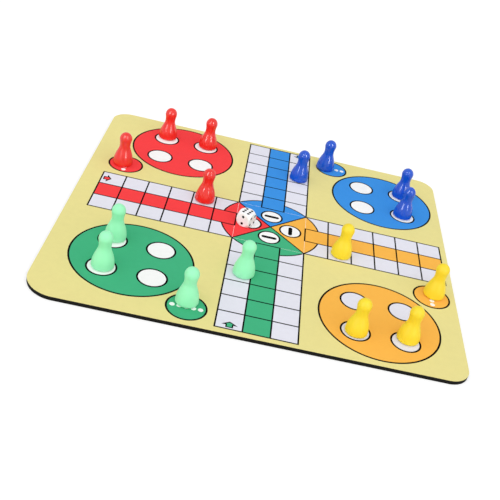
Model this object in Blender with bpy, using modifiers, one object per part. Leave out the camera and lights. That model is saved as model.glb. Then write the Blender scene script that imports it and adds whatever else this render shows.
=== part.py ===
"""A flying chess play mat with its pawns and its die.

A knit cloth, printed with a cross-shaped race board, is bonded to a sheet of black rubber. Four sets
of four moulded pawns and one die stand on it. Metres, +Z up. The origin is the middle of the mat's
underside, +X runs to the right and +Y to the far side.
"""
import math

import bmesh
import bpy
from mathutils import Matrix, Vector
from mathutils.geometry import interpolate_bezier

OBJECT_NAME = "flying_chess_play_mat"

# Board: a square of cells, with bare cloth around it
CELLS_ACROSS = 15
CELL = 0.0162
LEFT_MARGIN = 0.0131
RIGHT_MARGIN = 0.0045
FAR_MARGIN = 0.0037
NEAR_MARGIN = 0.0061

# Mat: cloth glued to rubber, both cut in one stroke. The near edge isn't quite square to the board: from
# its left corner to its right one it runs in by the cut-in. Its left corner is rounder than the others.
NEAR_CUT_IN = 0.0039
RUBBER_THICKNESS = 0.0022
GLUE_LINE = 0.0001
CLOTH_THICKNESS = 0.0004
MAT_CORNER_RADIUS = 0.013
NEAR_LEFT_CORNER_RADIUS = 0.019
CORNER_SEGMENTS = 8

# Pawn: one turned shape with a full body on a rounded foot, a neck and a ball head
PAWN_HEIGHT = 0.0242
PAWN_FOOT_DIAMETER = 0.0139
PAWN_FOOT_ROUNDING = 0.0009
PAWN_NECK_DIAMETER = 0.0075
PAWN_NECK_HEIGHT = 0.0144
PAWN_HEAD_DIAMETER = 0.0088
PAWN_CROWN_RISE = 0.0048
PAWN_CHIN_SWEEP = 0.0006
PAWN_NECK_SWEEP = 0.0022
PAWN_SHOULDER_SWEEP = 0.0037
PAWN_BODY_SWEEP = 0.0069
PAWN_RECESS_DIAMETER = 0.0086
PAWN_RECESS_DEPTH = 0.0007
PAWN_SIDES = 16
CROWN_SEGMENTS = 4
CHIN_SEGMENTS = 3
FLANK_SEGMENTS = 5
RIM_SEGMENTS = 2

# Die: a cube with its corners rounded off to a ball, and sunk pips
DIE_SIDE = 0.010
DIE_BALL_DIAMETER = 0.0138
DIE_BALL_SEGMENTS = 32
DIE_BALL_RINGS = 16
DIE_TURN = math.radians(-26.5)
PIP_DIAMETER = 0.0019
PIP_DEPTH = 0.0004
PIP_SPACING = 0.0025
PIP_SIDES = 8
SIX_ROW = 0.77

# What stands on the cloth clears it by this much
RESTING_GAP = 0.0003

# Where the pieces stand, in cells to the right of the board's centre and away from it
PAWN_PLACES = {
    "red": ((-5.50, 6.18), (-3.53, 6.11), (-2.99, 1.02), (-6.93, 2.60)),
    "blue": ((1.01, 4.92), (2.26, 6.71), (6.00, 5.54), (5.96, 3.63)),
    "green": ((-5.95, -5.45), (-5.93, -3.42), (-2.64, -6.49), (-0.81, -3.92)),
    "yellow": ((6.87, -2.42), (3.04, -0.97), (3.60, -6.03), (5.56, -5.78)),
}
DIE_PLACE = (-1.09, -0.25)

# Pips of each face, in pip spacings along its two sides. The six's two rows stand closer together.
PIP_LAYOUTS = {
    1: ((0, 0),),
    2: ((0, -1), (0, 1)),
    3: ((-1, -1), (0, 0), (1, 1)),
    4: ((-1, -1), (-1, 1), (1, -1), (1, 1)),
    5: ((-1, -1), (-1, 1), (0, 0), (1, -1), (1, 1)),
    6: ((-SIX_ROW, -1), (-SIX_ROW, 0), (-SIX_ROW, 1), (SIX_ROW, -1), (SIX_ROW, 0), (SIX_ROW, 1)),
}
# Each face's number, and the turn that brings it round from the top
DIE_FACES = {
    6: Matrix.Identity(4),
    1: Matrix.Rotation(math.pi, 4, "X"),
    4: Matrix.Rotation(math.pi / 2, 4, "Y"),
    3: Matrix.Rotation(-math.pi / 2, 4, "Y"),
    2: Matrix.Rotation(math.pi / 2, 4, "X"),
    5: Matrix.Rotation(-math.pi / 2, 4, "X"),
}

# Finishes: colour, and how rough the surface is
RUBBER_FINISH = ((0.018, 0.017, 0.015), 0.85)
CLOTH_FINISH = ((0.80, 0.71, 0.27), 0.95)
PAWN_FINISHES = {
    "red": ((0.90, 0.06, 0.05), 0.25),
    "blue": ((0.04, 0.15, 0.70), 0.25),
    "green": ((0.34, 0.94, 0.52), 0.30),
    "yellow": ((0.97, 0.74, 0.05), 0.25),
}
DIE_FINISH = ((0.86, 0.84, 0.82), 0.25)

# Handle length that makes a quarter of a circle from one curve
QUARTER_HANDLE = 4 / 3 * (math.sqrt(2) - 1)
MERGE_DISTANCE = 0.00001

MAT_WIDTH = CELLS_ACROSS * CELL + LEFT_MARGIN + RIGHT_MARGIN
MAT_DEPTH = CELLS_ACROSS * CELL + NEAR_MARGIN + FAR_MARGIN
BOARD_CENTRE_X = (LEFT_MARGIN - RIGHT_MARGIN) / 2
BOARD_CENTRE_Y = (NEAR_MARGIN - FAR_MARGIN) / 2
CLOTH_UNDERSIDE = RUBBER_THICKNESS + GLUE_LINE
CLOTH_FACE = CLOTH_UNDERSIDE + CLOTH_THICKNESS


def clear_scene():
    """Removes whatever the scene holds."""
    for thing in list(bpy.data.objects):
        bpy.data.objects.remove(thing, do_unlink=True)


def new_collection(name):
    """A collection under the scene's own."""
    collection = bpy.data.collections.new(name)
    bpy.context.scene.collection.children.link(collection)
    return collection


def new_material(name, finish):
    """A plain moulded or woven finish from its colour and roughness."""
    colour, roughness = finish
    material = bpy.data.materials.new(name)
    material.use_nodes = True
    shader = material.node_tree.nodes["Principled BSDF"]
    shader.inputs["Base Color"].default_value = (*colour, 1)
    shader.inputs["Roughness"].default_value = roughness
    shader.inputs["Metallic"].default_value = 0
    return material


def mat_outline():
    """The mat's outline, with a round arc at each corner."""
    corners = (
        (1, 1, MAT_CORNER_RADIUS),
        (-1, 1, MAT_CORNER_RADIUS),
        (-1, -1, NEAR_LEFT_CORNER_RADIUS),
        (1, -1, MAT_CORNER_RADIUS),
    )
    near_start = NEAR_LEFT_CORNER_RADIUS - MAT_WIDTH / 2
    near_end = MAT_WIDTH / 2 - MAT_CORNER_RADIUS
    near_slope = NEAR_CUT_IN / (near_end - near_start)
    points = []
    for corner, (side_x, side_y, radius) in enumerate(corners):
        middle_x = side_x * (MAT_WIDTH / 2 - radius)
        middle_y = side_y * (MAT_DEPTH / 2 - radius)
        for step in range(CORNER_SEGMENTS + 1):
            angle = (corner + step / CORNER_SEGMENTS) * math.pi / 2
            x = middle_x + radius * math.cos(angle)
            y = middle_y + radius * math.sin(angle)
            if side_y < 0:
                y += near_slope * (x - near_start)
            points.append((x, y))
    return points


def add_layer(collection, name, underside, thickness, finish):
    """One layer of the mat, cut to its outline."""
    curve = bpy.data.curves.new(name, "CURVE")
    curve.dimensions = "2D"
    curve.fill_mode = "BOTH"
    curve.extrude = thickness / 2
    outline = mat_outline()
    spline = curve.splines.new("POLY")
    spline.points.add(len(outline) - 1)
    for point, (x, y) in zip(spline.points, outline):
        point.co = (x, y, 0, 1)
    spline.use_cyclic_u = True
    curve.materials.append(new_material(name, finish))
    layer = bpy.data.objects.new(name, curve)
    layer.location = (0, 0, underside + thickness / 2)
    collection.objects.link(layer)


def stretch(start, start_handle, end_handle, end, segments):
    """Points of one curved stretch of a profile, from (radius, height) pairs, without its last one."""
    corners = [Vector((radius, 0, height)) for radius, height in (start, start_handle, end_handle, end)]
    return interpolate_bezier(*corners, segments + 1)[:-1]


def pawn_profile():
    """Half of the pawn's section, from the crown down its outer side and in under the foot."""
    foot = PAWN_FOOT_DIAMETER / 2
    neck = PAWN_NECK_DIAMETER / 2
    head = PAWN_HEAD_DIAMETER / 2
    recess = PAWN_RECESS_DIAMETER / 2
    head_middle = PAWN_HEIGHT - PAWN_CROWN_RISE
    rim_handle = PAWN_FOOT_ROUNDING * QUARTER_HANDLE
    rim_end = foot - PAWN_FOOT_ROUNDING
    crown = stretch(
        (0, PAWN_HEIGHT),
        (head * QUARTER_HANDLE, PAWN_HEIGHT),
        (head, head_middle + PAWN_CROWN_RISE * QUARTER_HANDLE),
        (head, head_middle),
        CROWN_SEGMENTS,
    )
    chin = stretch(
        (head, head_middle),
        (head, head_middle - PAWN_CHIN_SWEEP),
        (neck, PAWN_NECK_HEIGHT + PAWN_NECK_SWEEP),
        (neck, PAWN_NECK_HEIGHT),
        CHIN_SEGMENTS,
    )
    flank = stretch(
        (neck, PAWN_NECK_HEIGHT),
        (neck, PAWN_NECK_HEIGHT - PAWN_SHOULDER_SWEEP),
        (foot, PAWN_FOOT_ROUNDING + PAWN_BODY_SWEEP),
        (foot, PAWN_FOOT_ROUNDING),
        FLANK_SEGMENTS,
    )
    rim = stretch(
        (foot, PAWN_FOOT_ROUNDING),
        (foot, PAWN_FOOT_ROUNDING - rim_handle),
        (rim_end + rim_handle, 0),
        (rim_end, 0),
        RIM_SEGMENTS,
    )
    underside = [
        Vector((rim_end, 0, 0)),
        Vector((recess, 0, 0)),
        Vector((recess, 0, PAWN_RECESS_DEPTH)),
        Vector((0, 0, PAWN_RECESS_DEPTH)),
    ]
    return crown + chin + flank + rim + underside


def add_pawns(collection, board, colour):
    """The four pawns of one colour, which share a profile."""
    points = pawn_profile()
    edges = [(index, index + 1) for index in range(len(points) - 1)]
    mesh = bpy.data.meshes.new("pawn_" + colour)
    mesh.from_pydata(points, edges, [])
    mesh.materials.append(new_material("pawn_" + colour, PAWN_FINISHES[colour]))
    for number, (right, away) in enumerate(PAWN_PLACES[colour], start=1):
        pawn = bpy.data.objects.new(f"pawn_{colour}_{number}", mesh)
        pawn.parent = board
        pawn.location = (right * CELL, away * CELL, RESTING_GAP)
        turning = pawn.modifiers.new("turning", "SCREW")
        turning.axis = "Z"
        turning.angle = math.tau
        turning.steps = PAWN_SIDES
        turning.render_steps = PAWN_SIDES
        turning.use_merge_vertices = True
        turning.merge_threshold = MERGE_DISTANCE
        turning.use_smooth_shade = True
        collection.objects.link(pawn)


def add_cutter(collection, die, name, shape):
    """A shape that turns with the die and cuts it."""
    mesh = bpy.data.meshes.new(name)
    shape.to_mesh(mesh)
    shape.free()
    cutter = bpy.data.objects.new(name, mesh)
    cutter.parent = die
    cutter.hide_render = True
    cutter.display_type = "WIRE"
    collection.objects.link(cutter)
    return cutter


def corner_ball():
    """The ball that the die's corners are rounded to."""
    ball = bmesh.new()
    bmesh.ops.create_uvsphere(
        ball,
        u_segments=DIE_BALL_SEGMENTS,
        v_segments=DIE_BALL_RINGS,
        radius=DIE_BALL_DIAMETER / 2,
    )
    return ball


def pip_drill():
    """All the pips of the die at once."""
    drill = bmesh.new()
    for number, turn in DIE_FACES.items():
        for along, across in PIP_LAYOUTS[number]:
            place = Matrix.Translation((along * PIP_SPACING, across * PIP_SPACING, DIE_SIDE / 2))
            bmesh.ops.create_cone(
                drill,
                cap_ends=True,
                segments=PIP_SIDES,
                radius1=PIP_DIAMETER / 2,
                radius2=PIP_DIAMETER / 2,
                depth=2 * PIP_DEPTH,
                matrix=turn @ place,
            )
    return drill


def add_die(collection, cutters, board):
    """The die, its corners rounded before the pips are sunk."""
    cube = bmesh.new()
    bmesh.ops.create_cube(cube, size=DIE_SIDE)
    mesh = bpy.data.meshes.new("die")
    cube.to_mesh(mesh)
    cube.free()
    mesh.materials.append(new_material("die", DIE_FINISH))
    die = bpy.data.objects.new("die", mesh)
    die.parent = board
    right, away = DIE_PLACE
    die.location = (right * CELL, away * CELL, RESTING_GAP + DIE_SIDE / 2)
    die.rotation_euler = (0, 0, DIE_TURN)
    collection.objects.link(die)
    for name, operation, shape in (
        ("corner_ball", "INTERSECT", corner_ball()),
        ("pip_drill", "DIFFERENCE", pip_drill()),
    ):
        cut = die.modifiers.new(name, "BOOLEAN")
        cut.operation = operation
        cut.solver = "EXACT"
        cut.object = add_cutter(cutters, die, name, shape)


def main():
    """Builds the mat, then what stands on it."""
    clear_scene()
    parts = new_collection(OBJECT_NAME)
    cutters = new_collection("cutters")
    add_layer(parts, "rubber_base", 0, RUBBER_THICKNESS, RUBBER_FINISH)
    add_layer(parts, "cloth_top", CLOTH_UNDERSIDE, CLOTH_THICKNESS, CLOTH_FINISH)
    board = bpy.data.objects.new("board", None)
    board.location = (BOARD_CENTRE_X, BOARD_CENTRE_Y, CLOTH_FACE)
    parts.objects.link(board)
    for colour in PAWN_PLACES:
        add_pawns(parts, board, colour)
    add_die(parts, cutters, board)


main()
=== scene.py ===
"""Looks of a flying chess play mat: a printed knit cloth on rubber, its moulded pawns and its die.

Laid out as an add-on and run as a script. Metres, +Z up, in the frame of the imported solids.
"""
import math

import bmesh
import bpy
from bpy.props import FloatProperty, FloatVectorProperty, IntProperty, PointerProperty
from mathutils import Matrix, Quaternion, Vector
from mathutils.geometry import delaunay_2d_cdt


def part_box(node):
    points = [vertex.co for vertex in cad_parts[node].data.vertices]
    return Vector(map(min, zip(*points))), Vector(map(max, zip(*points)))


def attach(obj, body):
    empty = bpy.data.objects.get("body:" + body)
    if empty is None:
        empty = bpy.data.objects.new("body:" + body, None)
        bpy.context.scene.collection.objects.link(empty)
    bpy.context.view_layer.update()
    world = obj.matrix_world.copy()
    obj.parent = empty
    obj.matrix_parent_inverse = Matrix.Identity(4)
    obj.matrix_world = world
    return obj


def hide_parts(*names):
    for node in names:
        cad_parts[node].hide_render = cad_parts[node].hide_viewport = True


bl_info = {
    "name": "Flying chess play mat",
    "version": (1, 0, 0),
    "blender": (4, 5, 0),
    "location": "3D View > Sidebar > Play Mat",
    "description": "Dresses a board game mat, its pawns and its die",
    "category": "Object",
}

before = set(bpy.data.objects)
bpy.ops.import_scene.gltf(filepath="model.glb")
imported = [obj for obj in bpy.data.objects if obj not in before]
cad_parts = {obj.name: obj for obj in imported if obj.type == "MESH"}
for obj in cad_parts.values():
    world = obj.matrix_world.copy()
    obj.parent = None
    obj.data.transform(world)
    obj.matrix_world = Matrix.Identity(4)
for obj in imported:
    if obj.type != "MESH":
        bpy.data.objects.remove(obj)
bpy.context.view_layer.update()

# Places and sizes that the solids give
RUBBER_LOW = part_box("rubber_base")[0]
CLOTH_LOW, CLOTH_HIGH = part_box("cloth_top")
PAWN_NODES = [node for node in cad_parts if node.startswith("pawn_")]
PAWN_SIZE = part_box(PAWN_NODES[0])[1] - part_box(PAWN_NODES[0])[0]
DIE_LOW, DIE_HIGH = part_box("die")

# Print of the board, in cells from its centre. It is drawn once, for the home on the left, and then
# turned clockwise a quarter at a time for the other three. One home's spots are inked as the cells are.
HOMES = ("red", "blue", "orange", "green")
SPOT_INKS = {"orange": "cell_white"}
BOARD_HALF = 7.5
ARM_HALF = 1.5
LANE_HALF = 0.5
BASE_PLACE = (-4.54, 5.03)
BASE_RADIUS = 2.35
BASE_SPOT_OFFSET = 0.95
BASE_SPOT_RADIUS = 0.555
START_PLACE = (-6.78, 2.60)
START_RADIUS = 0.735
START_DOTS = 5
START_DOT_PITCH = 0.26
START_DOT_RADIUS = 0.1
HUB_RADIUS = 2.12
GOAL_OFFSET = 0.86
GOAL_RADIUS = 0.45
GOAL_BAR_HALF_LENGTH = 0.32
GOAL_BAR_HALF_WIDTH = 0.085
ARROW_PLACE = (-7.24, 0.98)
ARROW_LENGTH = 0.35
ARROW_HEAD_LENGTH = 0.2
ARROW_HEAD_HALF = 0.3
ARROW_SHAFT_HALF = 0.14
ARROW_BORDER = 0.05
CIRCLE_SEGMENTS = 96
SPOT_SEGMENTS = 48
DOT_SEGMENTS = 16
PRINT_TOLERANCE = 0.00001

# Sheen of the cloth's nap, which the heavy ink of the lines flattens, and the gloss that goes with it
NAP = 0.04
LINE_NAP = 0.008
NAP_GLOSS = 2.5

# Map of the cloth: faces that look up this much are laid out as the print, and the rest in a far corner
FACING_UP = 0.1
FACE_SHARE = 0.97
EDGE_SHARE = 0.025
EDGE_PLACE = Vector((0.973, 0.973))

# Facets of the cloth's rounded edge and of the rubber's, and how steeply the rubber's pores open
ROUNDING_STEPS = 3
PORE_SLOPE = 2.2

# Turned pawn
QUARTER_HANDLE = 4 / 3 * (math.sqrt(2) - 1)
STRETCH_STEPS = 24
SEAM_TOLERANCE = 0.001
GOLDEN_TURN = math.radians(137.5)
MERGE_DISTANCE = 0.000002
SHARP_ANGLE = math.radians(40)

# Plastics: how glossy and how rough they are, and how deep light goes in, with the spread of their scuffs
PAWN_PLASTICS = {
    "red": (0.5, 0.16, 0.0008),
    "blue": (0.5, 0.14, 0.0006),
    "green": (0.2, 0.45, 0.004),
    "yellow": (0.2, 0.42, 0.002),
}
DIE_PLASTIC = (0.4, 0.26, 0.0012)
SCUFF_SPREAD = 0.16

# Die: pips of each face in pip spacings, and the degrees and axis of the turn that brings the face round
# from the top. The six's two rows stand closer together.
PIP_SEGMENTS = 32
PIP_RINGS = 24
SIX_ROW = 0.77
PIP_LAYOUTS = {
    1: ((0, 0),),
    2: ((0, -1), (0, 1)),
    3: ((-1, -1), (0, 0), (1, 1)),
    4: ((-1, -1), (-1, 1), (1, -1), (1, 1)),
    5: ((-1, -1), (-1, 1), (0, 0), (1, -1), (1, 1)),
    6: ((-SIX_ROW, -1), (-SIX_ROW, 0), (-SIX_ROW, 1), (SIX_ROW, -1), (SIX_ROW, 0), (SIX_ROW, 1)),
}
DIE_FACES = {6: (0, "X"), 1: (180, "X"), 4: (90, "Y"), 3: (-90, "Y"), 2: (90, "X"), 5: (-90, "X")}

# Strip lights
GLEAM_PLACES = {"left": Vector((-0.63, -0.75, 0.70)), "right": Vector((0.63, -0.75, 0.70))}


def tint(red, green, blue):
    """A colour as shaders take it, from its usual numbers up to 255."""
    def straighten(level):
        share = level / 255
        return share / 12.92 if share <= 0.04045 else ((share + 0.055) / 1.055) ** 2.4

    return straighten(red), straighten(green), straighten(blue)


def size(name, description, default):
    """A length that a user may change."""
    return FloatProperty(
        name=name, description=description, default=default, min=0, precision=5, unit="LENGTH"
    )


def colour(name, description, default):
    """A colour that a user may change."""
    return FloatVectorProperty(
        name=name, description=description, default=default, min=0, max=1, size=3, subtype="COLOR"
    )


class MatSettings(bpy.types.PropertyGroup):
    """Sizes and inks of the mat."""

    corner_radius: size("Corner radius", "Radius of the mat's cut corners", 0.013)
    near_left_radius: size("Near left radius", "Radius of the mat's rounder corner", 0.019)
    corner_steps: IntProperty(name="Corner steps", description="Facets of a corner", default=24, min=4)
    nap_rounding: size("Nap rounding", "How far the cloth's pile rounds its cut edge", 0.0001)
    cell: size("Cell", "Side of one cell of the board", 0.0162)
    near_cut_in: size("Near cut-in", "How far the near edge runs in from left to right", 0.0039)
    left_margin: size("Left margin", "Bare cloth on the left of the board", 0.0131)
    near_margin: size("Near margin", "Bare cloth in front of the board, on the left", 0.0061)
    line: size("Line", "Width of the printed lines between cells", 0.0010)
    border: size("Border", "Width of the printed lines round discs", 0.0012)
    hairline: size("Hairline", "Width of the pale lines in the hub", 0.00015)
    wale: size("Wale", "Width of one column of knit loops", 0.00062)
    course: size("Course", "Height of one row of knit loops", 0.00046)
    loop_depth: size("Loop depth", "Height of a knit loop", 0.00007)
    ground: colour("Ground", "Ink of the bare mat", tint(235, 224, 148))
    red: colour("Red", "Ink of the red home", tint(250, 60, 64))
    blue: colour("Blue", "Ink of the blue home", tint(52, 146, 230))
    orange: colour("Orange", "Ink of the orange home", tint(252, 185, 74))
    green: colour("Green", "Ink of the green home", tint(62, 180, 128))
    cell_white: colour("Cells", "Ink of the plain cells", tint(230, 230, 241))
    spot_white: colour("Spots", "Unprinted cloth of the spots", tint(251, 251, 251))
    line_ink: colour("Line ink", "Ink of every line", tint(12, 11, 12))
    raw_edge: colour("Raw edge", "Cut edge and glued back of the cloth", tint(58, 54, 42))
    rubber: colour("Rubber", "Rubber under the cloth", tint(20, 19, 15))
    foot_rounding: size("Foot rounding", "Rounding of the rubber's lower edge", 0.0001)
    pad_pitch: size("Pad pitch", "Distance between the grip pads underneath", 0.0032)
    pad_side: size("Pad side", "Width of one grip pad", 0.0025)
    pad_height: size("Pad height", "How far the grip pads stand out", 0.0002)
    rim_width: size("Rim width", "Smooth rubber round the grip pads", 0.0025)


class PawnSettings(bpy.types.PropertyGroup):
    """Shape and plastics of the pawns."""

    height: size("Height", "Height of a pawn", PAWN_SIZE.z)
    foot_diameter: size("Foot diameter", "Widest part of the foot", PAWN_SIZE.x)
    foot_rounding: size("Foot rounding", "Rounding of the foot's lower edge", 0.0009)
    neck_diameter: size("Neck diameter", "Narrowest part under the head", 0.0075)
    neck_height: size("Neck height", "Height of the neck", 0.0144)
    head_diameter: size("Head diameter", "Width of the ball head", 0.0088)
    crown_rise: size("Crown rise", "Height of the crown over the head's widest part", 0.0048)
    chin_sweep: size("Chin sweep", "How far the head runs down into the neck", 0.0006)
    neck_sweep: size("Neck sweep", "How far the neck runs up into the head", 0.0022)
    shoulder_sweep: size("Shoulder sweep", "How far the neck runs down into the body", 0.0037)
    body_sweep: size("Body sweep", "How far the body runs up from the foot", 0.0069)
    recess_diameter: size("Recess diameter", "Width of the hollow under the foot", 0.0086)
    recess_depth: size("Recess depth", "Depth of the hollow under the foot", 0.0007)
    parting_ridge: size("Parting ridge", "Height of the line where the mould halves met", 0.00004)
    sides: IntProperty(name="Sides", description="Facets round a pawn, an even number", default=80, min=8)
    steps: IntProperty(name="Steps", description="Rings from crown to foot", default=96, min=16)
    red: colour("Red", "Plastic of the red pawns", tint(235, 46, 38))
    blue: colour("Blue", "Plastic of the blue pawns", tint(16, 84, 204))
    green: colour("Green", "Plastic of the green pawns", tint(158, 245, 192))
    yellow: colour("Yellow", "Plastic of the yellow pawns", tint(247, 219, 50))


class DieSettings(bpy.types.PropertyGroup):
    """Shape and plastic of the die."""

    side: size("Side", "Side of the cube", DIE_HIGH.z - DIE_LOW.z)
    ball_diameter: size("Ball diameter", "Ball that the corners are rounded to", 0.0138)
    softness: size("Softness", "Rounding where a face meets the ball", 0.0003)
    subdivisions: IntProperty(name="Subdivisions", description="Fineness of the ball", default=6, min=3)
    turn: FloatProperty(
        name="Turn", description="Turn on the mat", default=math.radians(-26.5), subtype="ANGLE"
    )
    pip_diameter: size("Pip diameter", "Width of a pip", 0.0019)
    pip_depth: size("Pip depth", "Depth of a pip", 0.0004)
    pip_spacing: size("Pip spacing", "Distance between neighbouring pips", 0.0025)
    plastic: colour("Plastic", "Plastic of the die", tint(251, 251, 254))
    paint: colour("Paint", "Paint in the pips", tint(6, 5, 6))


class StageSettings(bpy.types.PropertyGroup):
    """Camera, light and floor."""

    camera_place: FloatVectorProperty(
        name="Camera place",
        description="Where the camera stands",
        default=(-0.02764, -0.50637, CLOTH_HIGH.z + 0.29676),
        subtype="TRANSLATION",
    )
    camera_aim: FloatVectorProperty(
        name="Camera aim",
        description="Point on the cloth in the middle of the picture",
        default=(-0.00695, -0.03349, CLOTH_HIGH.z),
        subtype="TRANSLATION",
    )
    camera_roll: FloatProperty(
        name="Camera roll", description="Lean of the camera", default=math.radians(14.03), subtype="ANGLE"
    )
    lens: FloatProperty(
        name="Lens", description="Focal length", default=61.93, min=1, unit="CAMERA",
        subtype="DISTANCE_CAMERA",
    )
    ambient: FloatProperty(name="Ambient", description="Light from all round", default=0.99, min=0)
    lean: FloatProperty(
        name="Lean", description="How much more ambient light comes from the front", default=0.6, min=0, max=1
    )
    gleam_power: FloatProperty(
        name="Gleam power", description="Power of each strip light", default=11.0, min=0, unit="POWER"
    )
    gleam_width: size("Gleam width", "Width of a strip light", 0.2)
    gleam_height: size("Gleam height", "Height of a strip light", 1.2)
    floor_side: size("Floor side", "Side of the floor", 12.0)
    floor: colour("Floor", "Paper that the mat lies on", (0.5, 0.5, 0.5))
    floor_glow: FloatProperty(
        name="Floor glow", description="White that the floor shows but doesn't cast", default=0.56, min=0
    )


class PlayMatSettings(bpy.types.PropertyGroup):
    """All settings of the play mat."""

    mat: PointerProperty(type=MatSettings)
    pawn: PointerProperty(type=PawnSettings)
    die: PointerProperty(type=DieSettings)
    stage: PointerProperty(type=StageSettings)


class NodeBench:
    """Adds nodes to a tree, and feeds their inputs from values, sockets or other nodes."""

    def __init__(self, tree):
        self.tree = tree

    def add(self, kind, inputs=None, **settings):
        """A new node with these settings and inputs."""
        node = self.tree.nodes.new(kind)
        for name, value in settings.items():
            setattr(node, name, value)
        for name, value in (inputs or {}).items():
            self.feed(node.inputs[name], value)
        return node

    def feed(self, socket, value):
        """Sets an input, or links it to a socket or to a node's first output."""
        if isinstance(value, bpy.types.Node):
            value = value.outputs[0]
        if isinstance(value, bpy.types.NodeSocket):
            self.tree.links.new(value, socket)
        else:
            socket.default_value = value

    def math(self, operation, *values):
        """One sum, product or function of values and sockets."""
        return self.add("ShaderNodeMath", dict(enumerate(values)), operation=operation)

    def vector_math(self, operation, *values):
        """One sum, product or function of vectors."""
        return self.add("ShaderNodeVectorMath", dict(enumerate(values)), operation=operation)

    def ramp(self, value, start, span):
        """A value times a span, on top of a start."""
        return self.math("MULTIPLY_ADD", value, span, start)

    def named_inputs(self, kinds):
        """Adds the tree's own inputs, and returns the sockets they come out of."""
        for name, kind in kinds.items():
            self.tree.interface.new_socket(name, in_out="INPUT", socket_type=kind)
        source = self.add("NodeGroupInput")
        return {name: source.outputs[name] for name in kinds}

    def deliver(self, geometry, finish):
        """Makes a node's geometry, without instances and in its finish, the tree's result."""
        self.tree.interface.new_socket("Geometry", in_out="OUTPUT", socket_type="NodeSocketGeometry")
        real = self.add("GeometryNodeRealizeInstances", {"Geometry": geometry})
        dressed = self.add("GeometryNodeSetMaterial", {"Geometry": real, "Material": finish})
        self.add("NodeGroupOutput", {"Geometry": dressed})


class Finish(NodeBench):
    """A material with a Principled shader, as a bench for the nodes that feed it."""

    def __init__(self, name, **constants):
        self.material = bpy.data.materials.new(name)
        self.material.use_nodes = True
        super().__init__(self.material.node_tree)
        self.shader = self.tree.nodes["Principled BSDF"]
        self.place = self.add("ShaderNodeTexCoord").outputs["Object"]
        self.give(**constants)

    def give(self, **values):
        """Feeds inputs of the shader by their labels in small letters, and returns the material."""
        for name, value in values.items():
            label = name.replace("_", " ").title().replace("Ior", "IOR")
            self.feed(self.shader.inputs[label], value)
        return self.material

    def noise(self, scale, detail):
        """A cloudy value between none and one."""
        node = self.add("ShaderNodeTexNoise", {"Vector": self.place, "Scale": scale, "Detail": detail})
        return node.outputs["Fac"]

    def shaded(self, base, value):
        """A colour made darker or lighter by a factor."""
        return self.add("ShaderNodeHueSaturation", {"Value": value, "Color": (*base, 1)})

    def bump(self, height, distance, strength):
        """A relief that only the light sees."""
        return self.add("ShaderNodeBump", {"Height": height, "Distance": distance, "Strength": strength})


def knit_cloth(name, ink, mat, nap):
    """Fine printed knit: columns of slanting loops, a soft nap and faintly uneven ink, with painted shade in
    the dips between the loops.
    """
    cloth = Finish(name, sheen_weight=nap, sheen_roughness=0.6, specular_ior_level=NAP_GLOSS * nap)
    spot = cloth.add("ShaderNodeSeparateXYZ", {"Vector": cloth.place})
    column = cloth.math("DIVIDE", spot.outputs["X"], mat.wale)
    row = cloth.math("DIVIDE", spot.outputs["Y"], mat.course)
    slant = cloth.math("PINGPONG", column, 0.5)
    wave = cloth.math("SINE", cloth.math("MULTIPLY", cloth.math("ADD", row, slant), math.tau))
    rib = cloth.math("SINE", cloth.math("MULTIPLY", slant, math.tau))
    loop = cloth.math("MULTIPLY", cloth.ramp(wave, start=0.5, span=0.5), rib)
    mottle = cloth.noise(scale=260.0, detail=4.0)
    drift = cloth.noise(scale=18.0, detail=2.0)
    # The first ramp paints the dips between the loops darker: painted shade. The two noises on top of it are
    # uneven ink.
    tone_and_painted_shade = cloth.ramp(loop, start=0.94, span=0.07)
    tone_and_painted_shade = cloth.ramp(mottle, start=tone_and_painted_shade, span=0.07)
    tone_and_painted_shade = cloth.ramp(drift, start=tone_and_painted_shade, span=0.06)
    return cloth.give(
        base_color=cloth.shaded(ink, tone_and_painted_shade),
        roughness=cloth.ramp(loop, start=0.95, span=-0.12),
        normal=cloth.bump(loop, distance=mat.loop_depth, strength=0.6),
    )


def foam_rubber(mat):
    """Matt black rubber with an uneven dusty tone and the fine pores of its foam, painted darker inside as
    painted shade.
    """
    rubber = Finish("foam_rubber", specular_ior_level=0.1)
    pores = rubber.add("ShaderNodeTexVoronoi", {"Vector": rubber.place, "Scale": 2600.0})
    pit = rubber.math("MINIMUM", rubber.math("MULTIPLY", pores.outputs["Distance"], PORE_SLOPE), 1.0)
    dust = rubber.noise(scale=320.0, detail=5.0)
    tone_and_painted_shade = rubber.ramp(dust, start=0.55, span=0.5)
    # Each pore is painted darker towards its middle: painted shade, on top of the uneven dusty tone.
    tone_and_painted_shade = rubber.ramp(pit, start=tone_and_painted_shade, span=0.3)
    return rubber.give(
        base_color=rubber.shaded(mat.rubber, tone_and_painted_shade),
        roughness=rubber.ramp(dust, start=0.72, span=0.2),
        normal=rubber.bump(pit, distance=0.00006, strength=0.5),
    )


def moulded_plastic(name, base, gloss, roughness, depth):
    """Injection-moulded plastic, lightly scuffed, that light goes into by the given depth."""
    plastic = Finish(
        name,
        specular_ior_level=gloss,
        subsurface_weight=0.35,
        subsurface_scale=depth,
        subsurface_radius=(1.0, 1.0, 1.0),
        ior=1.5,
    )
    cloud = plastic.noise(scale=140.0, detail=3.0)
    scuff = plastic.noise(scale=900.0, detail=6.0)
    ripple = plastic.noise(scale=420.0, detail=2.0)
    return plastic.give(
        base_color=plastic.shaded(base, plastic.ramp(cloud, start=0.95, span=0.1)),
        roughness=plastic.ramp(scuff, start=roughness - SCUFF_SPREAD / 2, span=SCUFF_SPREAD),
        normal=plastic.bump(ripple, distance=0.00006, strength=0.25),
    )


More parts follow.
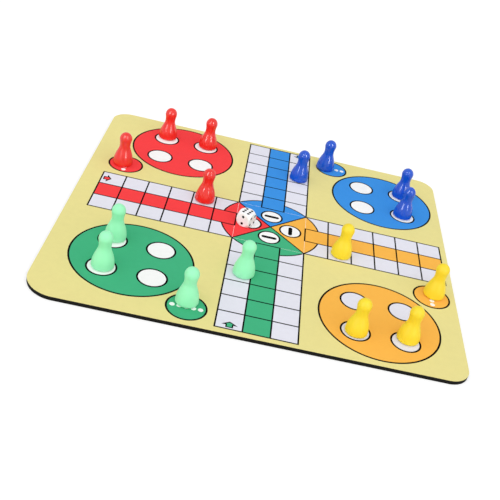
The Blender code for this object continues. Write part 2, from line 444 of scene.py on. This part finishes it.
def pip_paint(base):
    """Thick satin paint, pooled in the pips."""
    paint = Finish("pip_paint", specular_ior_level=0.03, ior=1.5)
    skin = paint.noise(scale=1400.0, detail=3.0)
    return paint.give(
        base_color=paint.shaded(base, paint.ramp(skin, start=0.75, span=0.5)),
        roughness=paint.ramp(skin, start=0.4, span=0.2),
    )


def shown_only(bench):
    """One for rays that show the stage itself, straight or in gloss or glass, and none for its light."""
    path = bench.add("ShaderNodeLightPath")
    seen = bench.math("MAXIMUM", path.outputs["Is Camera Ray"], path.outputs["Is Glossy Ray"])
    return bench.math("MAXIMUM", seen, path.outputs["Is Transmission Ray"])


def floor_paper(stage):
    """Paper that keeps shadows, made white by a glow that only the camera and reflections see."""
    paper = Finish("floor_paper", roughness=0.9, emission_color=(1, 1, 1, 1))
    fibre = paper.noise(scale=300.0, detail=4.0)
    return paper.give(
        base_color=paper.shaded(stage.floor, paper.ramp(fibre, start=0.99, span=0.02)),
        emission_strength=paper.math("MULTIPLY", shown_only(paper), stage.floor_glow),
    )


def new_mesh(name, shape):
    """A mesh of a shape, which is then let go."""
    mesh = bpy.data.meshes.new(name)
    shape.to_mesh(mesh)
    shape.free()
    return mesh


def new_piece(name, data):
    """A mesh, camera or light as an object in the scene, at the origin."""
    piece = bpy.data.objects.new(name, data)
    bpy.context.scene.collection.objects.link(piece)
    return piece


def aim(piece, place, target, roll=0):
    """Sets a camera or light at a place, turned to a target and rolled."""
    piece.location = place
    piece.rotation_mode = "QUATERNION"
    piece.rotation_quaternion = (target - place).to_track_quat("-Z", "Y") @ Quaternion((0, 0, 1), roll)


def finished(piece):
    """The piece with its modifiers made into a plain mesh."""
    bpy.context.view_layer.update()
    evaluated = piece.evaluated_get(bpy.context.evaluated_depsgraph_get())
    mesh = bpy.data.meshes.new_from_object(evaluated)
    mesh.name = piece.name
    while mesh.materials[0] is None:
        mesh.materials.pop(index=0)
    piece.modifiers.clear()
    piece.data = mesh
    mesh.set_sharp_from_angle(angle=SHARP_ANGLE)
    return piece


def grown(name, tree, values, mesh=None):
    """A piece made by a geometry tree from named values."""
    piece = new_piece(name, mesh or bpy.data.meshes.new(name))
    modifier = piece.modifiers.new("growing", "NODES")
    modifier.node_group = tree
    for socket in tree.interface.items_tree:
        if socket.in_out == "INPUT" and socket.name in values:
            modifier[socket.identifier] = values[socket.name]
    return finished(piece)


def mat_outline(mat, inset):
    """The mat's outline in from its cut edge, counter-clockwise from the far right corner."""
    corners = (
        (1, 1, mat.corner_radius),
        (-1, 1, mat.corner_radius),
        (-1, -1, mat.near_left_radius),
        (1, -1, mat.corner_radius),
    )
    middle = (CLOTH_LOW + CLOTH_HIGH).xy / 2
    reach = (CLOTH_HIGH - CLOTH_LOW).xy / 2
    near_start = CLOTH_LOW.x + mat.near_left_radius
    near_slope = mat.near_cut_in / (CLOTH_HIGH.x - mat.corner_radius - near_start)
    points = []
    for corner, (side_x, side_y, radius) in enumerate(corners):
        for step in range(mat.corner_steps + 1):
            angle = (corner + step / mat.corner_steps) * math.pi / 2
            point = Vector((
                middle.x + side_x * (reach.x - radius) + (radius - inset) * math.cos(angle),
                middle.y + side_y * (reach.y - radius) + (radius - inset) * math.sin(angle),
            ))
            if side_y < 0:
                point.y += near_slope * (point.x - near_start)
            points.append(point)
    return points


def outline_area(points):
    """Area inside an outline that runs counter-clockwise."""
    return sum(point.cross(after) for point, after in zip(points, points[1:] + points[:1])) / 2


def rounded_edge(radius):
    """Steps of a quarter round: how far each has gone one way, and has to go the other."""
    angles = [step / ROUNDING_STEPS * math.pi / 2 for step in range(ROUNDING_STEPS + 1)]
    return [(radius * (1 - math.cos(a)), radius * (1 - math.sin(a))) for a in angles]


def add_ring(shape, points, height):
    """A ring of corners along an outline, at one height."""
    return [shape.verts.new((point.x, point.y, height)) for point in points]


def add_wall(shape, upper, lower, slot):
    """Faces between two rings, facing outwards."""
    for index in range(len(upper)):
        face = shape.faces.new((upper[index - 1], lower[index - 1], lower[index], upper[index]))
        face.material_index = slot
        face.smooth = True


def circle(middle, radius, segments=CIRCLE_SEGMENTS):
    """A round outline."""
    angles = (math.tau * step / segments for step in range(segments))
    return [(middle[0] + radius * math.cos(a), middle[1] + radius * math.sin(a)) for a in angles]


def panel(left, right, near, far):
    """A rectangular outline."""
    return [(left, near), (right, near), (right, far), (left, far)]


def round_bar(middle, half_length, half_width):
    """An upright bar with round ends."""
    x, y = middle
    straight = half_length - half_width
    half_turn = [math.pi * step / DOT_SEGMENTS for step in range(DOT_SEGMENTS + 1)]
    far = [(x + half_width * math.cos(a), y + straight + half_width * math.sin(a)) for a in half_turn]
    near = [(x - half_width * math.cos(a), y - straight - half_width * math.sin(a)) for a in half_turn]
    return far + near


def hub_sector(radius, half_line):
    """The left quarter of the hub, clear of the lines on its diagonals."""
    slack = math.asin(half_line / radius)
    start = math.pi * 3 / 4 + slack
    sweep = math.pi / 2 - 2 * slack
    steps = CIRCLE_SEGMENTS // 4
    angles = [start + sweep * step / steps for step in range(steps + 1)]
    arc = [(radius * math.cos(a), radius * math.sin(a)) for a in angles]
    return arc + [(-half_line * math.sqrt(2), 0)]


def arrow(border):
    """A block arrow towards the board's centre, drawn in from its outer edge by a border."""
    x, y = ARROW_PLACE
    slope = math.hypot(ARROW_HEAD_LENGTH, ARROW_HEAD_HALF) / ARROW_HEAD_HALF
    tip = x + ARROW_LENGTH / 2 - border * slope
    shoulder = x + ARROW_LENGTH / 2 - ARROW_HEAD_LENGTH + border
    tail = x - ARROW_LENGTH / 2 + border
    head = (tip - shoulder) * ARROW_HEAD_HALF / ARROW_HEAD_LENGTH
    shaft = ARROW_SHAFT_HALF - border
    return [
        (tail, y - shaft),
        (shoulder, y - shaft),
        (shoulder, y - head),
        (tip, y),
        (shoulder, y + head),
        (shoulder, y + shaft),
        (tail, y + shaft),
    ]


class BoardPrint:
    """The print as layers, each an outline and the ink inside it, with later ones on top."""

    def __init__(self, mat):
        self.line = mat.line / mat.cell / 2
        self.border = mat.border / mat.cell / 2
        self.hairline = mat.hairline / mat.cell / 2
        self.outlines = []
        self.inks = []

    def lay(self, ink, outline, quarters=0):
        """One layer, turned clockwise about the board's centre by so many quarters."""
        for _ in range(quarters):
            outline = [(y, -x) for x, y in outline]
        self.outlines.append(outline)
        self.inks.append(ink)

    def bordered_circle(self, ink, middle, radius, segments, quarters):
        """A disc with a dark line on its edge."""
        self.lay("line_ink", circle(middle, radius + self.border, segments), quarters)
        self.lay(ink, circle(middle, radius - self.border, segments), quarters)

    def base(self, home, quarters):
        """The large disc where a set of pawns waits on four spots."""
        self.bordered_circle(home, BASE_PLACE, BASE_RADIUS, CIRCLE_SEGMENTS, quarters)
        for side_x in (-BASE_SPOT_OFFSET, BASE_SPOT_OFFSET):
            for side_y in (-BASE_SPOT_OFFSET, BASE_SPOT_OFFSET):
                spot = (BASE_PLACE[0] + side_x, BASE_PLACE[1] + side_y)
                ink = SPOT_INKS.get(home, "spot_white")
                self.bordered_circle(ink, spot, BASE_SPOT_RADIUS, SPOT_SEGMENTS, quarters)

    def start(self, home, quarters):
        """The small disc where a pawn starts, with a row of plain dots."""
        self.bordered_circle(home, START_PLACE, START_RADIUS, SPOT_SEGMENTS, quarters)
        for dot in range(START_DOTS):
            along = (dot - (START_DOTS - 1) / 2) * START_DOT_PITCH
            middle = (START_PLACE[0], START_PLACE[1] + along)
            self.lay("spot_white", circle(middle, START_DOT_RADIUS, DOT_SEGMENTS), quarters)

    def arm(self, home, quarters):
        """One arm of the cross, three rows of cells with the home's own lane in the middle."""
        edge = BOARD_HALF + self.line
        side = ARM_HALF + self.line
        self.lay("line_ink", panel(-edge, -ARM_HALF, -side, side), quarters)
        for column in range(round(BOARD_HALF - ARM_HALF)):
            left = column - BOARD_HALF + self.line
            right = column - BOARD_HALF + 1 - self.line
            for row in (-1, 0, 1):
                near = row - LANE_HALF + self.line
                far = row + LANE_HALF - self.line
                self.lay("cell_white" if row else home, panel(left, right, near, far), quarters)
        self.lay("line_ink", arrow(0), quarters)
        self.lay(home, arrow(ARROW_BORDER), quarters)

    def sector(self, home, quarters):
        """A home's quarter of the hub, with the end of its lane and its goal."""
        self.lay(home, hub_sector(HUB_RADIUS - self.line, self.line), quarters)
        for side in (-1, 1):
            middle = side * (ARM_HALF + LANE_HALF) / 2
            reach = (ARM_HALF - LANE_HALF) / 2 - self.border
            hairline = panel(
                -ARM_HALF - self.hairline, -ARM_HALF + self.hairline, middle - reach, middle + reach
            )
            self.lay("spot_white", hairline, quarters)
        outer = -ARM_HALF - 1
        side = LANE_HALF + self.line
        self.lay("line_ink", panel(outer, -ARM_HALF + self.line, -side, side), quarters)
        side = LANE_HALF - self.line
        self.lay(home, panel(outer + self.line, -ARM_HALF - self.line, -side, side), quarters)
        goal = (-GOAL_OFFSET, 0)
        self.bordered_circle("spot_white", goal, GOAL_RADIUS, SPOT_SEGMENTS, quarters)
        self.lay("line_ink", round_bar(goal, GOAL_BAR_HALF_LENGTH, GOAL_BAR_HALF_WIDTH), quarters)

    def draw(self):
        """Every layer over the bare ground."""
        for part in (self.base, self.start, self.arm):
            for quarters, home in enumerate(HOMES):
                part(home, quarters)
        self.lay("line_ink", circle((0, 0), HUB_RADIUS + self.line))
        for quarters, home in enumerate(HOMES):
            self.sector(home, quarters)


class PLAYMAT_OT_cloth(bpy.types.Operator):
    """Cuts the printed cloth, with each ink as its own finish"""

    bl_idname = "playmat.cloth"
    bl_label = "Printed cloth"

    def execute(self, context):
        mat = context.scene.playmat.mat
        inks = ["ground", *HOMES, "cell_white", "spot_white", "line_ink", "raw_edge"]
        mesh = new_mesh("printed_cloth", self.cut(mat, inks))
        for ink in inks:
            nap = LINE_NAP if ink == "line_ink" else NAP
            mesh.materials.append(knit_cloth("cloth_" + ink, getattr(mat, ink), mat, nap))
        self.lay_out(mesh)
        cloth = new_piece("printed_cloth", mesh)
        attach(cloth, "mat")
        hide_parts("cloth_top")
        outline_area(mat_outline(mat, 0))
        return {"FINISHED"}

    def cut(self, mat, inks):
        """The printed face as one flat net of triangles, closed by a napped edge and a plain back."""
        centre = Vector((
            CLOTH_LOW.x + mat.left_margin + BOARD_HALF * mat.cell,
            CLOTH_LOW.y + mat.near_margin + BOARD_HALF * mat.cell,
        ))
        drawing = BoardPrint(mat)
        face_edge = mat_outline(mat, mat.nap_rounding)
        drawing.lay("ground", [tuple((point - centre) / mat.cell) for point in face_edge])
        drawing.draw()
        points = []
        faces = []
        for outline in drawing.outlines:
            faces.append(list(range(len(points), len(points) + len(outline))))
            points.extend(Vector(point) for point in outline)
        corners, _, triangles, sources, _, covers = delaunay_2d_cdt(points, [], faces, 0, PRINT_TOLERANCE)
        shape = bmesh.new()
        net = [shape.verts.new((*(centre + mat.cell * corner), CLOTH_HIGH.z)) for corner in corners]
        for triangle, cover in zip(triangles, covers):
            if cover:
                face = shape.faces.new([net[corner] for corner in triangle])
                face.material_index = inks.index(drawing.inks[max(cover)])
        found = {source: net[corner] for corner, given in enumerate(sources) for source in given}
        upper = [found[index] for index in range(len(face_edge))]
        for drop, inset in rounded_edge(mat.nap_rounding)[1:]:
            lower = add_ring(shape, mat_outline(mat, inset), CLOTH_HIGH.z - drop)
            add_wall(shape, upper, lower, inks.index("ground"))
            upper = lower
        lower = add_ring(shape, mat_outline(mat, 0), CLOTH_LOW.z)
        add_wall(shape, upper, lower, inks.index("raw_edge"))
        back = shape.faces.new(reversed(lower))
        back.material_index = inks.index("raw_edge")
        return shape

    def lay_out(self, mesh):
        """A map on which the printed face takes nearly all the room."""
        layer = mesh.uv_layers.new(name="OFBake")
        span = CLOTH_HIGH - CLOTH_LOW
        for polygon in mesh.polygons:
            on_face = polygon.normal.z > FACING_UP
            for corner in polygon.loop_indices:
                place = mesh.vertices[mesh.loops[corner].vertex_index].co - CLOTH_LOW
                share = Vector((place.x / span.x, place.y / span.y))
                layer.uv[corner].vector = share * FACE_SHARE if on_face else share * EDGE_SHARE + EDGE_PLACE


def pad_tree():
    """Rows of low square pads under a sheet, kept in from its rounded outline."""
    tree = bpy.data.node_groups.new("Grip pads", "GeometryNodeTree")
    bench = NodeBench(tree)
    lengths = ("Width", "Depth", "Corner Radius", "Margin", "Pitch", "Side", "Height")
    given = bench.named_inputs({
        "Geometry": "NodeSocketGeometry",
        "Middle": "NodeSocketVector",
        **dict.fromkeys(lengths, "NodeSocketFloat"),
        "Finish": "NodeSocketMaterial",
    })
    columns = bench.math("FLOOR", bench.math("DIVIDE", given["Width"], given["Pitch"]))
    rows = bench.math("FLOOR", bench.math("DIVIDE", given["Depth"], given["Pitch"]))
    grid = bench.add("GeometryNodeMeshGrid", {
        "Size X": bench.math("MULTIPLY", bench.math("SUBTRACT", columns, 1.0), given["Pitch"]),
        "Size Y": bench.math("MULTIPLY", bench.math("SUBTRACT", rows, 1.0), given["Pitch"]),
        "Vertices X": columns,
        "Vertices Y": rows,
    })
    reach = bench.vector_math(
        "SUBTRACT",
        bench.vector_math("ABSOLUTE", bench.add("GeometryNodeInputPosition")),
        bench.vector_math(
            "SUBTRACT",
            bench.add("ShaderNodeCombineXYZ", {
                "X": bench.math("MULTIPLY", given["Width"], 0.5),
                "Y": bench.math("MULTIPLY", given["Depth"], 0.5),
            }),
            given["Corner Radius"],
        ),
    )
    reach = bench.vector_math("MULTIPLY", reach, (1.0, 1.0, 0.0))
    outside = bench.vector_math("LENGTH", bench.vector_math("MAXIMUM", reach, (0.0, 0.0, 0.0)))
    too_near = bench.add("FunctionNodeCompare", {
        "A": outside.outputs["Value"],
        "B": bench.math("SUBTRACT", given["Corner Radius"], given["Margin"]),
    }, operation="GREATER_THAN")
    kept = bench.add("GeometryNodeDeleteGeometry", {"Geometry": grid, "Selection": too_near})
    radius = bench.math("MULTIPLY", given["Side"], math.sqrt(0.5))
    pad = bench.add("GeometryNodeMeshCone", {
        "Vertices": 4,
        "Radius Top": radius,
        "Radius Bottom": bench.math("SUBTRACT", radius, given["Height"]),
        "Depth": bench.math("MULTIPLY", given["Height"], 2.0),
    })
    pads = bench.add("GeometryNodeInstanceOnPoints", {
        "Points": kept,
        "Instance": pad.outputs["Mesh"],
        "Rotation": (0.0, 0.0, math.pi / 4),
    })
    moved = bench.add("GeometryNodeTransform", {"Geometry": pads, "Translation": given["Middle"]})
    whole = bench.add("GeometryNodeJoinGeometry", {"Geometry": given["Geometry"]})
    bench.feed(whole.inputs["Geometry"], moved)
    bench.deliver(whole, given["Finish"])
    return tree


class PLAYMAT_OT_rubber(bpy.types.Operator):
    """Cuts the rubber sheet under the cloth, with grip pads underneath"""

    bl_idname = "playmat.rubber"
    bl_label = "Rubber base"

    def execute(self, context):
        mat = context.scene.playmat.mat
        shape = bmesh.new()
        upper = add_ring(shape, mat_outline(mat, 0), CLOTH_LOW.z)
        shape.faces.new(upper)
        under = [(mat.rim_width, 0), (mat.rim_width + mat.pad_height, mat.pad_height)]
        for inset, height in rounded_edge(mat.foot_rounding) + under:
            lower = add_ring(shape, mat_outline(mat, inset), RUBBER_LOW.z + height)
            add_wall(shape, upper, lower, 0)
            upper = lower
        shape.faces.new(reversed(upper))
        middle = (CLOTH_LOW + CLOTH_HIGH) / 2
        rubber = grown("rubber_sheet", pad_tree(), {
            "Middle": (middle.x, middle.y + mat.near_cut_in / 2, RUBBER_LOW.z),
            "Width": CLOTH_HIGH.x - CLOTH_LOW.x,
            "Depth": CLOTH_HIGH.y - CLOTH_LOW.y - mat.near_cut_in,
            "Corner Radius": max(mat.corner_radius, mat.near_left_radius),
            "Margin": mat.rim_width + mat.pad_side,
            "Pitch": mat.pad_pitch,
            "Side": mat.pad_side,
            "Height": mat.pad_height,
            "Finish": foam_rubber(mat),
        }, new_mesh("rubber_sheet", shape))
        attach(rubber, "mat")
        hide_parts("rubber_base")
        return {"FINISHED"}


def pawn_tree():
    """A pawn turned from its profile, which runs from the crown down and in under the hollow foot."""
    tree = bpy.data.node_groups.new("Turned pawn", "GeometryNodeTree")
    bench = NodeBench(tree)
    lengths = (
        "Height", "Foot Diameter", "Foot Rounding", "Neck Diameter", "Neck Height", "Head Diameter",
        "Crown Rise", "Chin Sweep", "Neck Sweep", "Shoulder Sweep", "Body Sweep", "Recess Diameter",
        "Recess Depth", "Parting Ridge",
    )
    given = bench.named_inputs({
        **dict.fromkeys(lengths, "NodeSocketFloat"),
        "Sides": "NodeSocketInt",
        "Steps": "NodeSocketInt",
        "Place": "NodeSocketVector",
        "Turn": "NodeSocketFloat",
        "Finish": "NodeSocketMaterial",
    })
    foot, neck, head, recess = (
        bench.math("MULTIPLY", given[part + " Diameter"], 0.5) for part in ("Foot", "Neck", "Head", "Recess")
    )
    rounding = given["Foot Rounding"]
    waist = given["Neck Height"]
    crown = given["Height"]
    ceiling = given["Recess Depth"]
    head_middle = bench.math("SUBTRACT", crown, given["Crown Rise"])
    rim_handle = bench.math("MULTIPLY", rounding, QUARTER_HANDLE)
    rim_end = bench.math("SUBTRACT", foot, rounding)

    def point(radius, height):
        return bench.add("ShaderNodeCombineXYZ", {"X": radius, "Z": height})

    def stretch(start, start_handle, end_handle, end):
        return bench.add("GeometryNodeCurvePrimitiveBezierSegment", {
            "Resolution": STRETCH_STEPS,
            "Start": point(*start),
            "Start Handle": point(*start_handle),
            "End Handle": point(*end_handle),
            "End": point(*end),
        }, mode="POSITION")

    def straight(start, end):
        return bench.add("GeometryNodeCurvePrimitiveLine", {"Start": point(*start), "End": point(*end)})

    profile = bench.add("GeometryNodeJoinGeometry")
    runs = (
        stretch(
            (0.0, crown),
            (bench.math("MULTIPLY", head, QUARTER_HANDLE), crown),
            (head, bench.math("MULTIPLY_ADD", given["Crown Rise"], QUARTER_HANDLE, head_middle)),
            (head, head_middle),
        ),
        stretch(
            (head, head_middle),
            (head, bench.math("SUBTRACT", head_middle, given["Chin Sweep"])),
            (neck, bench.math("ADD", waist, given["Neck Sweep"])),
            (neck, waist),
        ),
        stretch(
            (neck, waist),
            (neck, bench.math("SUBTRACT", waist, given["Shoulder Sweep"])),
            (foot, bench.math("ADD", rounding, given["Body Sweep"])),
            (foot, rounding),
        ),
        stretch(
            (foot, rounding),
            (foot, bench.math("SUBTRACT", rounding, rim_handle)),
            (bench.math("ADD", rim_end, rim_handle), 0.0),
            (rim_end, 0.0),
        ),
        straight((rim_end, 0.0), (recess, 0.0)),
        straight((recess, 0.0), (recess, ceiling)),
        straight((recess, ceiling), (0.0, ceiling)),
    )
    for run in reversed(runs):
        bench.feed(profile.inputs["Geometry"], run)
    grid = bench.add("GeometryNodeMeshGrid", {
        "Size X": 1.0,
        "Size Y": 1.0,
        "Vertices X": bench.math("ADD", given["Sides"], 1.0),
        "Vertices Y": given["Steps"],
    })
    spot = bench.add("ShaderNodeSeparateXYZ", {"Vector": bench.add("GeometryNodeInputPosition")})
    angle = bench.math("MULTIPLY", bench.math("SUBTRACT", 0.5, spot.outputs["X"]), math.tau)
    sample = bench.add("GeometryNodeSampleCurve", {
        "Curves": profile,
        "Factor": bench.math("ADD", spot.outputs["Y"], 0.5),
    }, mode="FACTOR", use_all_curves=True)
    section = bench.add("ShaderNodeSeparateXYZ", {"Vector": sample.outputs["Position"]})
    on_seam = bench.math("LESS_THAN", bench.math("ABSOLUTE", bench.math("SINE", angle)), SEAM_TOLERANCE)
    proud = bench.math("MINIMUM", given["Parting Ridge"], section.outputs["X"])
    radius = bench.math("MULTIPLY_ADD", on_seam, proud, section.outputs["X"])
    swept = bench.add("GeometryNodeSetPosition", {
        "Geometry": grid,
        "Position": bench.add("ShaderNodeCombineXYZ", {
            "X": bench.math("MULTIPLY", radius, bench.math("COSINE", angle)),
            "Y": bench.math("MULTIPLY", radius, bench.math("SINE", angle)),
            "Z": section.outputs["Z"],
        }),
    })
    mapped = bench.add("GeometryNodeStoreNamedAttribute", {
        "Geometry": swept,
        "Name": "OFBake",
        "Value": grid.outputs["UV Map"],
    }, data_type="FLOAT2", domain="CORNER")
    closed = bench.add("GeometryNodeMergeByDistance", {"Geometry": mapped, "Distance": MERGE_DISTANCE})
    placed = bench.add("GeometryNodeTransform", {
        "Geometry": closed,
        "Translation": given["Place"],
        "Rotation": bench.add("ShaderNodeCombineXYZ", {"Z": given["Turn"]}),
    })
    bench.deliver(bench.add("GeometryNodeSetShadeSmooth", {"Geometry": placed}), given["Finish"])
    return tree


class PLAYMAT_OT_pawns(bpy.types.Operator):
    """Turns the sixteen pawns and sets each one where its solid stands"""

    bl_idname = "playmat.pawns"
    bl_label = "Moulded pawns"

    def execute(self, context):
        pawn = context.scene.playmat.pawn
        plastics = {
            name: moulded_plastic(name + "_plastic", getattr(pawn, name), *feel)
            for name, feel in PAWN_PLASTICS.items()
        }
        tree = pawn_tree()
        shape = {
            name.replace("_", " ").title(): getattr(pawn, name)
            for name in pawn.bl_rna.properties.keys()
            if name not in plastics
        }
        for count, node in enumerate(PAWN_NODES):
            low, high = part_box(node)
            plastic = node.split("_")[1]
            piece = grown("moulded_" + node, tree, {
                **shape,
                "Place": ((low.x + high.x) / 2, (low.y + high.y) / 2, low.z),
                "Turn": count * GOLDEN_TURN,
                "Finish": plastics[plastic],
            })
            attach(piece, node)
            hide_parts(node)
        return {"FINISHED"}


def die_tree():
    """A ball whose six caps are pressed flat, to the sides of a cube."""
    tree = bpy.data.node_groups.new("Rounded die", "GeometryNodeTree")
    bench = NodeBench(tree)
    given = bench.named_inputs({
        **dict.fromkeys(("Side", "Ball Diameter", "Softness"), "NodeSocketFloat"),
        "Subdivisions": "NodeSocketInt",
        "Finish": "NodeSocketMaterial",
    })
    ball = bench.add("GeometryNodeMeshIcoSphere", {
        "Radius": bench.math("MULTIPLY", given["Ball Diameter"], 0.5),
        "Subdivisions": given["Subdivisions"],
    })
    half = bench.math("MULTIPLY", given["Side"], 0.5)
    spot = bench.add("ShaderNodeSeparateXYZ", {"Vector": bench.add("GeometryNodeInputPosition")})
    pressed = {}
    for axis in "XYZ":
        reach = bench.math("SMOOTH_MIN", bench.math("ABSOLUTE", spot.outputs[axis]), half, given["Softness"])
        pressed[axis] = bench.math("MULTIPLY", reach, bench.math("SIGN", spot.outputs[axis]))
    body = bench.add("GeometryNodeSetPosition", {
        "Geometry": ball.outputs["Mesh"],
        "Position": bench.add("ShaderNodeCombineXYZ", pressed),
    })
    bench.deliver(bench.add("GeometryNodeSetShadeSmooth", {"Geometry": body}), given["Finish"])
    return tree


class PLAYMAT_OT_die(bpy.types.Operator):
    """Moulds the die, with round pips sunk into it and painted"""

    bl_idname = "playmat.die"
    bl_label = "Die"

    def execute(self, context):
        die = context.scene.playmat.die
        piece = grown("rounded_die", die_tree(), {
            "Side": die.side,
            "Ball Diameter": die.ball_diameter,
            "Softness": die.softness,
            "Subdivisions": die.subdivisions,
            "Finish": moulded_plastic("die_plastic", die.plastic, *DIE_PLASTIC),
        })
        drill = self.pip_drill(die)
        sinking = piece.modifiers.new("sinking", "BOOLEAN")
        sinking.operation = "DIFFERENCE"
        sinking.solver = "EXACT"
        sinking.material_mode = "TRANSFER"
        sinking.object = drill
        finished(piece)
        bpy.data.objects.remove(drill)
        middle = (DIE_LOW + DIE_HIGH) / 2
        piece.data.transform(Matrix.Translation(middle) @ Matrix.Rotation(die.turn, 4, "Z"))
        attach(piece, "die")
        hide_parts("die")
        return {"FINISHED"}

    def pip_drill(self, die):
        """All the pips as caps of spheres, in the paint that they leave behind."""
        radius = die.pip_diameter / 2
        ball = (radius ** 2 + die.pip_depth ** 2) / (2 * die.pip_depth)
        height = die.side / 2 + ball - die.pip_depth
        shape = bmesh.new()
        for number, (angle, axis) in DIE_FACES.items():
            turn = Matrix.Rotation(math.radians(angle), 4, axis)
            for along, across in PIP_LAYOUTS[number]:
                spot = (along * die.pip_spacing, across * die.pip_spacing, height)
                bmesh.ops.create_uvsphere(
                    shape,
                    u_segments=PIP_SEGMENTS,
                    v_segments=PIP_RINGS,
                    radius=ball,
                    matrix=turn @ Matrix.Translation(spot),
                )
        mesh = new_mesh("pip_drill", shape)
        mesh.materials.append(pip_paint(die.paint))
        return new_piece("pip_drill", mesh)


class PLAYMAT_OT_stage(bpy.types.Operator):
    """Sets up the camera, the light and the white floor"""

    bl_idname = "playmat.stage"
    bl_label = "Stage"

    def execute(self, context):
        stage = context.scene.playmat.stage
        context.scene.view_settings.view_transform = "Standard"
        self.add_floor(stage)
        self.add_camera(context, stage)
        self.light_world(context, stage)
        for name, place in GLEAM_PLACES.items():
            self.add_gleam(name, place, stage)
        return {"FINISHED"}

    def add_floor(self, stage):
        """A wide sheet of paper under the mat."""
        shape = bmesh.new()
        bmesh.ops.create_grid(shape, x_segments=1, y_segments=1, size=stage.floor_side / 2)
        mesh = new_mesh("floor", shape)
        mesh.materials.append(floor_paper(stage))
        mesh.transform(Matrix.Translation((0, 0, RUBBER_LOW.z)))
        new_piece("floor", mesh)

    def add_camera(self, context, stage):
        """The camera, with its lens."""
        data = bpy.data.cameras.new("camera")
        data.lens = stage.lens
        camera = new_piece("camera", data)
        aim(camera, Vector(stage.camera_place), Vector(stage.camera_aim), stage.camera_roll)
        context.scene.camera = camera

    def light_world(self, context, stage):
        """Light from all round, stronger from the front, that shows as plain white."""
        world = bpy.data.worlds.new("studio")
        world.use_nodes = True
        context.scene.world = world
        bench = NodeBench(world.node_tree)
        background = world.node_tree.nodes["Background"]
        background.inputs["Color"].default_value = (1, 1, 1, 1)
        towards = bench.add("ShaderNodeSeparateXYZ", {
            "Vector": bench.add("ShaderNodeTexCoord").outputs["Generated"]
        })
        light = bench.ramp(towards.outputs["Y"], start=stage.ambient, span=-stage.ambient * stage.lean)
        shown = bench.add("ShaderNodeMix", {"Factor": shown_only(bench), "A": light, "B": 1.0})
        bench.feed(background.inputs["Strength"], shown)

    def add_gleam(self, name, place, stage):
        """A strip light that shows in glossy plastic, and leaves the rest of the light to the world."""
        data = bpy.data.lights.new("gleam_" + name, "AREA")
        data.shape = "RECTANGLE"
        data.size = stage.gleam_width
        data.size_y = stage.gleam_height
        data.energy = stage.gleam_power
        gleam = new_piece("gleam_" + name, data)
        aim(gleam, place, Vector())
        gleam.visible_diffuse = False


class PLAYMAT_PT_sidebar(bpy.types.Panel):
    """Lists the pieces and their settings"""

    bl_idname = "PLAYMAT_PT_sidebar"
    bl_label = "Play Mat"
    bl_space_type = "VIEW_3D"
    bl_region_type = "UI"
    bl_category = "Play Mat"

    def draw(self, context):
        settings = context.scene.playmat
        for group, operators in (
            (settings.mat, (PLAYMAT_OT_rubber, PLAYMAT_OT_cloth)),
            (settings.pawn, (PLAYMAT_OT_pawns,)),
            (settings.die, (PLAYMAT_OT_die,)),
            (settings.stage, (PLAYMAT_OT_stage,)),
        ):
            box = self.layout.box()
            for operator in operators:
                box.operator(operator.bl_idname)
            for name in group.__annotations__:
                box.prop(group, name)


CLASSES = (
    MatSettings,
    PawnSettings,
    DieSettings,
    StageSettings,
    PlayMatSettings,
    PLAYMAT_OT_rubber,
    PLAYMAT_OT_cloth,
    PLAYMAT_OT_pawns,
    PLAYMAT_OT_die,
    PLAYMAT_OT_stage,
    PLAYMAT_PT_sidebar,
)


def register():
    for cls in CLASSES:
        bpy.utils.register_class(cls)
    bpy.types.Scene.playmat = PointerProperty(type=PlayMatSettings)


def unregister():
    del bpy.types.Scene.playmat
    for cls in reversed(CLASSES):
        bpy.utils.unregister_class(cls)


def main():
    """Makes every piece in order."""
    register()
    bpy.ops.playmat.rubber()
    bpy.ops.playmat.cloth()
    bpy.ops.playmat.pawns()
    bpy.ops.playmat.die()
    bpy.ops.playmat.stage()


if __name__ == "__main__":
    main()
